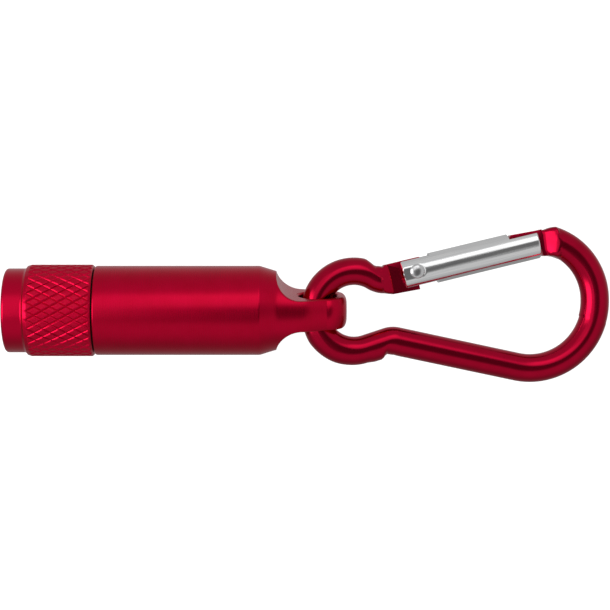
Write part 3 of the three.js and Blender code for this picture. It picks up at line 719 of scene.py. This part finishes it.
def seal():
    """A rubber ring of round section, with its faint moulding flash."""
    thickness, x, radius = 0.36, 0.22, NECK["groove"] + 0.38
    rows = []
    for a in np.arange(24) * TAU / 24:
        flash = 0.02 * math.exp(-((math.sin(a) / 0.2) ** 2))
        rows.append((x + (thickness + flash) * math.cos(a), radius + (thickness + flash) * math.sin(a)))
    return turned("neck_seal_ring", TORCH, rows, 120, closed=True)


# ---------- what the barrel holds
def cell(name, index):
    """A button cell: the can with its rounded foot, the crimped rim, the grommet line and the cap."""
    x = CELL["front"] + index * (CELL["height"] + CELL["gap"])
    top = x + CELL["height"]
    can = [(x, 0), (x, 4.6, 0.3), (x + 0.06, 4.75, 0.3), (x, 4.95, 0.2), (x, CELL["radius"], 0.35)]
    can += [(x + 4.5, CELL["radius"], 0.4), (x + 4.92, 5.2, 0.15), (x + 4.92, 5.05), (x + 4.8, 4.98)]
    cap = [(x + 4.8, 4.8), (top, 4.62, 0.3), (top, 0)]
    return turned(name, TORCH, rounded(can + cap, 4))


def sleeve():
    """The thin insulating sleeve round the cells, with rolled ends."""
    front, back, inner, outer = CELL["front"] + 0.4, BARREL["bore_end"] - 0.6, 5.86, BARREL["bore"] - 0.05
    return plain_ring("battery_sleeve_tube", front, back, inner, outer, 0.06, 0.08)


# ---------- finishes
class Nodes:
    """Adds nodes to a tree."""

    def __init__(self, tree):
        self.tree = tree

    def node(self, kind, **properties):
        made = self.tree.nodes.new(kind)
        for key, value in properties.items():
            setattr(made, key, value)
        return made

    def link(self, source, target):
        self.tree.links.new(source, target)

    def feed(self, target, value):
        if isinstance(value, bpy.types.NodeSocket):
            self.link(value, target)
        else:
            target.default_value = value

    def maths(self, operation, *values):
        made = self.node("ShaderNodeMath", operation=operation)
        for target, value in zip(made.inputs, values):
            self.feed(target, value)
        return made.outputs[0]

    def spread(self, value, low, high, to_low, to_high, **properties):
        """The value's range low..high mapped to another range."""
        made = self.node("ShaderNodeMapRange", **properties)
        for target, number in zip(made.inputs, (value, low, high, to_low, to_high)):
            self.feed(target, number)
        return made.outputs["Result"]


class Finish(Nodes):
    """A Principled material whose coordinates are a local frame's millimetres."""

    def __init__(self, name, place, **sockets):
        self.material = bpy.data.materials.new(name)
        self.material.use_nodes = True
        super().__init__(self.material.node_tree)
        self.surface = self.tree.nodes["Principled BSDF"]
        for socket, value in sockets.items():
            self.surface.inputs[socket.replace("_", " ")].default_value = value
        into = place.inverted()
        mapping = self.node("ShaderNodeMapping")
        mapping.inputs["Location"].default_value = into.translation
        mapping.inputs["Rotation"].default_value = into.to_euler()
        mapping.inputs["Scale"].default_value = (1 / MM,) * 3
        self.link(self.node("ShaderNodeTexCoord").outputs["Object"], mapping.inputs["Vector"])
        self.local = mapping.outputs["Vector"]

    def stretch(self, scale):
        made = self.node("ShaderNodeVectorMath", operation="MULTIPLY")
        self.link(self.local, made.inputs[0])
        made.inputs[1].default_value = scale
        return made.outputs[0]

    def noise(self, scale, detail=3.0, rough=0.55):
        """Noise in 0..1 whose grain per millimetre along each axis is the scale."""
        made = self.node("ShaderNodeTexNoise")
        self.link(self.stretch(scale), made.inputs["Vector"])
        made.inputs["Scale"].default_value = 1.0
        made.inputs["Detail"].default_value = detail
        made.inputs["Roughness"].default_value = rough
        return made.outputs["Fac"]

    def parts(self):
        """The frame's three coordinates."""
        made = self.node("ShaderNodeSeparateXYZ")
        self.link(self.local, made.inputs[0])
        return made.outputs

    def radius(self):
        """Distance from the frame's X axis."""
        squares = [self.maths("MULTIPLY", part, part) for part in self.parts()[1:3]]
        return self.maths("SQRT", self.maths("ADD", *squares))

    def mix(self, factor, first, second):
        made = self.node("ShaderNodeMix", data_type="RGBA")
        for target, value in ((made.inputs[0], factor), (made.inputs[6], first), (made.inputs[7], second)):
            self.feed(target, value)
        return made.outputs[2]

    def fade(self, value, low, high, first, second):
        """A colour that goes from the first to the second as the value goes from low to high."""
        return self.mix(self.spread(value, low, high, 0, 1), first, second)

    def set(self, **sockets):
        for socket, value in sockets.items():
            self.feed(self.surface.inputs[socket.replace("_", " ")], value)
        return self

    def bump(self, height, depth, strength=1.0):
        """Relief from a height in 0..1, whose full depth is given in millimetres."""
        made = self.node("ShaderNodeBump")
        self.link(height, made.inputs["Height"])
        made.inputs["Distance"].default_value = depth * MM
        made.inputs["Strength"].default_value = strength
        self.link(made.outputs["Normal"], self.surface.inputs["Normal"])
        return self


RED_LIGHT = (0.62, 0.0006, 0.034, 1)
RED_DEEP = (0.57, 0.0004, 0.028, 1)
RED_ROD_LIGHT = (0.52, 0.0012, 0.032, 1)
RED_ROD_DEEP = (0.45, 0.0008, 0.026, 1)
# A lighter pink for the knurl's crests: partly wear, partly a painted glint.
RED_WEAR_AND_GLINT = (0.72, 0.05, 0.11, 1)
SEALED = dict(Metallic=1.0, Coat_Weight=0.25, Coat_IOR=1.25, Coat_Roughness=0.15)


def turned_red():
    """Anodised aluminium over a turned surface: faint rings round the axis."""
    f = Finish("anodised_red_turned", TORCH, **SEALED)
    rings = f.noise((9.0, 0.25, 0.25), 4)
    cloud = f.noise((0.35, 0.35, 0.35))
    f.set(Base_Color=f.fade(cloud, 0.3, 0.7, RED_LIGHT, RED_DEEP))
    f.set(Roughness=f.spread(rings, 0.3, 0.7, 0.25, 0.30))
    return f.bump(rings, 0.0004)


def knurled_red():
    """The same finish on the head, but the knurl's flats are dull and its grooves catch the light. Its
    crests are painted a lighter pink, partly wear and partly a painted glint.
    """
    f = Finish("anodised_red_knurled", TORCH, **SEALED)
    grain = f.noise((6.0, 6.0, 6.0), 4)
    crest = HEAD["knurl"]
    flat = f.spread(f.radius(), crest - 0.05, crest - 0.02, 0, 1)
    behind = f.spread(f.parts()[0], HEAD["knurl_x"] - 0.05, HEAD["knurl_x"] + 0.05, 0, 1)
    dull = f.maths("MULTIPLY", flat, behind)
    # Lighter pink on the crests, partly wear and partly a painted glint, broken up by the grain.
    wear_and_glint = f.maths("MULTIPLY", dull, f.spread(grain, 0.5, 0.75, 0, 0.3))
    f.set(Base_Color=f.mix(wear_and_glint, RED_LIGHT, RED_WEAR_AND_GLINT))
    smooth_part = f.spread(grain, 0.3, 0.7, 0.22, 0.28)
    f.set(Roughness=f.maths("ADD", smooth_part, f.maths("MULTIPLY", dull, 0.3)))
    return f.bump(grain, 0.002)


def drawn_red():
    """The same finish on the carabiner's rod: glossier, with a faint orange-peel."""
    f = Finish("anodised_red_rod", LINK, **SEALED)
    peel = f.noise((1.6, 1.6, 1.6), 2)
    cloud = f.noise((0.3, 0.3, 0.3))
    f.set(Base_Color=f.fade(cloud, 0.3, 0.7, RED_ROD_LIGHT, RED_ROD_DEEP))
    f.set(Roughness=f.spread(f.noise((5, 5, 5)), 0.3, 0.7, 0.13, 0.19))
    return f.bump(peel, 0.004)


def drawn_metal():
    """Bare aluminium with the fine lengthwise lines of the drawing die."""
    f = Finish("bare_aluminium_drawn", GATE_FRAME, Metallic=1.0)
    lines = f.noise((0.1, 4.0, 4.0), 5, 0.65)
    f.set(Base_Color=f.fade(lines, 0.35, 0.65, (0.86, 0.865, 0.875, 1), (0.98, 0.98, 0.98, 1)))
    f.set(Roughness=f.spread(lines, 0.3, 0.7, 0.05, 0.14))
    return f.bump(lines, 0.014)


def metal(name, place, colour, rough, grain, depth=0.003):
    """A plain metal with a fine grain in its gloss and relief."""
    f = Finish(name, place, Metallic=1.0)
    speck = f.noise(grain, 4)
    dull = tuple(c * 0.86 for c in colour)
    f.set(Base_Color=f.fade(speck, 0.35, 0.65, (*colour, 1), (*dull, 1)))
    f.set(Roughness=f.spread(speck, 0.3, 0.7, rough * 0.8, rough * 1.25))
    return f.bump(speck, depth)


def plastic(name, place, colour, rough, grain=(3, 3, 3), depth=0.006):
    """A moulded plastic or rubber with a faint mottle and a fine skin."""
    f = Finish(name, place)
    cloud = f.noise(tuple(g * 0.2 for g in grain))
    skin = f.noise(grain, 5)
    shade = tuple(c * 0.82 for c in colour)
    f.set(Base_Color=f.fade(cloud, 0.35, 0.65, (*colour, 1), (*shade, 1)))
    f.set(Roughness=f.spread(skin, 0.3, 0.7, rough * 0.88, rough * 1.12))
    return f.bump(skin, depth)


def clear(name, place, tint, rough, index):
    """A clear moulding with a trace of surface ripple."""
    f = Finish(name, place, IOR=index)
    f.surface.inputs["Transmission Weight"].default_value = 1.0
    ripple = f.noise((0.8, 0.8, 0.8), 2)
    f.set(Base_Color=f.mix(ripple, (*tint, 1), (*(c * 0.97 for c in tint), 1)))
    f.set(Roughness=f.spread(ripple, 0.3, 0.7, rough, rough * 2))
    return f.bump(ripple, 0.002)


def laminate():
    """Green solder mask with the faint weave and the copper tracks under it."""
    f = Finish("circuit_board_mask", TORCH, IOR=1.5)
    weave = f.noise((1, 4, 0.8), 3)
    radius = f.radius()
    track = f.maths("PINGPONG", f.maths("ADD", radius, 0.2), 0.55)
    lift = f.spread(track, 0.3, 0.34, 0, 1)
    green = f.mix(weave, (0.006, 0.085, 0.03, 1), (0.01, 0.12, 0.045, 1))
    f.set(Base_Color=f.mix(lift, green, (0.02, 0.19, 0.07, 1)))
    f.set(Roughness=f.spread(weave, 0.3, 0.7, 0.28, 0.4))
    return f.bump(lift, 0.03)


RED_TURNED, RED_KNURLED, RED_ROD = turned_red(), knurled_red(), drawn_red()
GATE_METAL = drawn_metal()
RIVET_STEEL = metal("rivet_steel", GATE_FRAME, (0.78, 0.78, 0.79), 0.14, (4, 4, 4))
SPRING_STEEL = metal("spring_steel_wire", GATE_FRAME, (0.62, 0.62, 0.64), 0.24, (6, 6, 6))
TORCH_STEEL = metal("torch_steel_wire", TORCH, (0.62, 0.62, 0.64), 0.24, (6, 6, 6))
CELL_STEEL = metal("cell_nickel_plate", TORCH, (0.70, 0.69, 0.66), 0.2, (8, 1.2, 1.2))
CHROME = metal("reflector_chrome_plate", TORCH, (0.88, 0.88, 0.89), 0.05, (1, 1, 1), 0.001)
TIN = metal("tinned_solder", TORCH, (0.66, 0.66, 0.67), 0.3, (5, 5, 5), 0.01)
EPOXY = clear("led_epoxy_clear", TORCH, (0.97, 0.98, 1.0), 0.01, 1.5)
LENS = clear("lens_acrylic", TORCH, (0.98, 0.99, 1.0), 0.008, 1.49)
HOLDER_PLASTIC = plastic("holder_white_plastic", TORCH, (0.78, 0.77, 0.73), 0.45)
SLEEVE_PLASTIC = plastic("sleeve_dark_plastic", TORCH, (0.018, 0.021, 0.028), 0.5, (0.6, 5, 5))
RUBBER = plastic("seal_black_rubber", TORCH, (0.012, 0.012, 0.012), 0.7, (9, 9, 9), 0.01)
PHOSPHOR = plastic("phosphor_yellow", TORCH, (0.75, 0.62, 0.08), 0.6, (12, 12, 12))
BOARD_MASK = laminate()


# ---------- the assembly
def fit(piece, finish, slot, body, *nodes):
    """Gives a piece its finish and the body it moves with, and hides the CAD parts it stands for."""
    piece.data.materials.clear()
    piece.data.materials.append(finish.material)
    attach(piece, body)
    if nodes:
        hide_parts(*nodes)


fit(barrel(), RED_TURNED, "anodised_red", "torch", "barrel")
fit(sleeve(), SLEEVE_PLASTIC, "sleeve_plastic", "torch", "battery_sleeve")
for index, node in enumerate(("cell_front", "cell_middle", "cell_rear")):
    fit(cell(node + "_crimped", index), CELL_STEEL, "cell_steel", "torch", node)
last_cell = CELL["front"] + CELL["count"] * (CELL["height"] + CELL["gap"])
tail = coil("tail_spring_wound", TORCH, last_cell + 0.3, BARREL["bore_end"] - 0.3, 3.2, 4.8, 3.5, 0.5)
fit(tail, TORCH_STEEL, "spring_steel", "torch", "tail_spring")

fit(head(), RED_KNURLED, "anodised_red", "twist_head", "head")
fit(lens(), LENS, "lens_clear", "twist_head", "lens")
fit(retainer(), TORCH_STEEL, "spring_steel", "twist_head", "module_retainer")
fit(seal(), RUBBER, "seal_rubber", "twist_head", "neck_seal")

fit(reflector(), CHROME, "reflector_chrome", "light_module", "reflector")
fit(led(), EPOXY, "led_epoxy", "light_module", "led")
fit(led_frame(), TIN, "spring_steel", "light_module")
fit(led_chip(), PHOSPHOR, "led_epoxy", "light_module")
fit(holder(), HOLDER_PLASTIC, "holder_plastic", "light_module", "led_holder")
fit(lead("led_anode_lead_punched", 1), TIN, "spring_steel", "light_module", "led_anode_lead")
fit(lead("led_cathode_lead_punched", -1), TIN, "spring_steel", "light_module", "led_cathode_lead")
fit(board(), BOARD_MASK, "circuit_board", "light_module", "led_board")
fit(contact_pad(), TIN, "spring_steel", "light_module")
fit(solder("led_anode_solder", 1), TIN, "spring_steel", "light_module")
fit(solder("led_cathode_solder", -1), TIN, "spring_steel", "light_module")
contact_span = BOARD["back"] + 0.25, CELL["front"] - 0.38
contact = coil("contact_spring_wound", TORCH, *contact_span, 2.6, 2.0, 2, 0.36, dead=0.5)
fit(contact, TORCH_STEEL, "spring_steel", "light_module", "contact_spring")

fit(carabiner(), RED_ROD, "anodised_red", "carabiner", "carabiner_body")
fit(gate(), GATE_METAL, "bare_aluminium", "gate_arm", "gate")
fit(rivet(), RIVET_STEEL, "spring_steel", "gate_arm", "gate_rivet")
spring_start = PLUNGER["end"] - 0.55
spring = coil("gate_spring_wound", GATE_FRAME, spring_start, GATE["bore_end"] - 0.25, 1.4, 1.4, 8, 0.36)
fit(spring, SPRING_STEEL, "spring_steel", "gate_arm", "gate_spring")
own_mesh(spring)
fit(plunger(), SPRING_STEEL, "spring_steel", "plunger", "gate_plunger")


# ---------- floor, light and camera
def floor():
    """A plain white floor that glows. Reflections look past it, so that the metal keeps its dark edges."""
    side = 8.0
    mesh = bpy.data.meshes.new("floor")
    corners = [(-side, -side, 0), (side, -side, 0), (side, side, 0), (-side, side, 0)]
    mesh.from_pydata(corners, [], [(0, 1, 2, 3)])
    made = bpy.data.objects.new("floor", mesh)
    bpy.context.scene.collection.objects.link(made)
    matt = dict(Base_Color=(0.3, 0.3, 0.3, 1), Roughness=0.9, Specular_IOR_Level=0.0)
    paint = Finish("floor_paint", TORCH, **matt, Emission_Color=(1, 1, 1, 1), Emission_Strength=1.0)
    mesh.materials.append(paint.material)
    made.visible_glossy = False


# The light's levels. The overhead softbox is dimmer beyond its -X end, over the torch's lip.
LIGHT = dict(overhead=0.88, end=0.34, side=2.6, wall=0.54, below=0.46, below_front=0.27)
CEILING = dict(torch=0.22, carabiner=0.13)
# The overhead softbox's edges, as leans from straight up in radians: (fade starts, fade ends).
SOFTBOX = dict(near=(0.0, 0.28), far=(0.58, 0.86), end=(-0.17, -0.12), skew=0.4, skew_from=0.08)
SOFTBOX_WIDER = 0.42  # how much nearer the near edge starts beyond the -X end
# The lit bands in degrees: (from, to, half of the fade at each end).
SOFTBOX_SPAN, SIDE_RISE, SIDE_BEARING = (-34, 27, 8), (22, 58, 8), (-26, 26, 10)


def studio():
    """Soft light by direction: a softbox overhead towards +Y, one at -X, grey walls and a dark ceiling."""
    world = bpy.data.worlds.new("studio")
    bpy.context.scene.world = world
    world.use_nodes = True
    nodes = Nodes(world.node_tree)
    maths = nodes.maths
    parts = nodes.node("ShaderNodeSeparateXYZ")
    nodes.link(nodes.node("ShaderNodeTexCoord").outputs["Generated"], parts.inputs[0])
    x, y, z = parts.outputs

    def step(value, low, high, to_low=0.0, to_high=1.0):
        return nodes.spread(value, low, high, to_low, to_high, interpolation_type="SMOOTHSTEP")

    def band(value, low, high, soft):
        low, high, soft = (math.radians(a) for a in (low, high, soft))
        rise, fall = step(value, low - soft, low + soft), step(value, high - soft, high + soft, 1.0, 0.0)
        return maths("MULTIPLY", rise, fall)

    def blend(factor, low, high):
        return maths("ADD", low, maths("MULTIPLY", factor, maths("SUBTRACT", high, low)))

    lean_y, lean_x = maths("ARCTAN2", y, z), maths("ARCTAN2", x, z)
    box = SOFTBOX
    past = maths("MAXIMUM", maths("ADD", lean_x, box["skew_from"]), 0.0)
    skewed = maths("SUBTRACT", lean_y, maths("MULTIPLY", past, box["skew"]))
    overhead = step(lean_x, *box["end"])
    near_edge = blend(overhead, maths("ADD", lean_y, SOFTBOX_WIDER), skewed)
    key = maths("MULTIPLY", step(near_edge, *box["near"]), step(skewed, *box["far"], 1.0, 0.0))
    key = maths("MULTIPLY", key, blend(overhead, LIGHT["end"], LIGHT["overhead"]))
    key = maths("MULTIPLY", key, band(lean_x, *SOFTBOX_SPAN))
    rise, bearing = maths("ARCSINE", z), maths("ARCTAN2", y, maths("MULTIPLY", x, -1.0))
    side = maths("MULTIPLY", band(rise, *SIDE_RISE), band(bearing, *SIDE_BEARING))
    below = step(y, -0.5, 0.3, LIGHT["below_front"], LIGHT["below"])
    walls = blend(step(z, -0.3, 0.65), below, LIGHT["wall"])
    ceiling = maths("MULTIPLY", step(z, 0.78, 0.92), overhead)
    walls = blend(ceiling, walls, step(lean_x, 0.0, 0.2, CEILING["torch"], CEILING["carabiner"]))
    light = maths("ADD", walls, key)
    light = maths("ADD", light, maths("MULTIPLY", side, LIGHT["side"]))
    background = nodes.tree.nodes["Background"]
    nodes.link(light, background.inputs["Color"])
    background.inputs["Strength"].default_value = 1.0
    bpy.context.scene.view_settings.view_transform = "Standard"


CAMERA_AT = Vector((34.895, 0.89, 303.975))  # in mm from the torch frame's origin
LENS_LENGTH, SENSOR = 108, 36


def camera():
    """Straight above, with the lens that puts the whole object across the frame."""
    data = bpy.data.cameras.new("camera")
    data.lens, data.sensor_width = LENS_LENGTH, SENSOR
    made = bpy.data.objects.new("camera", data)
    made.location = TORCH.translation + CAMERA_AT * MM
    bpy.context.scene.collection.objects.link(made)
    bpy.context.scene.camera = made


floor()
studio()
camera()
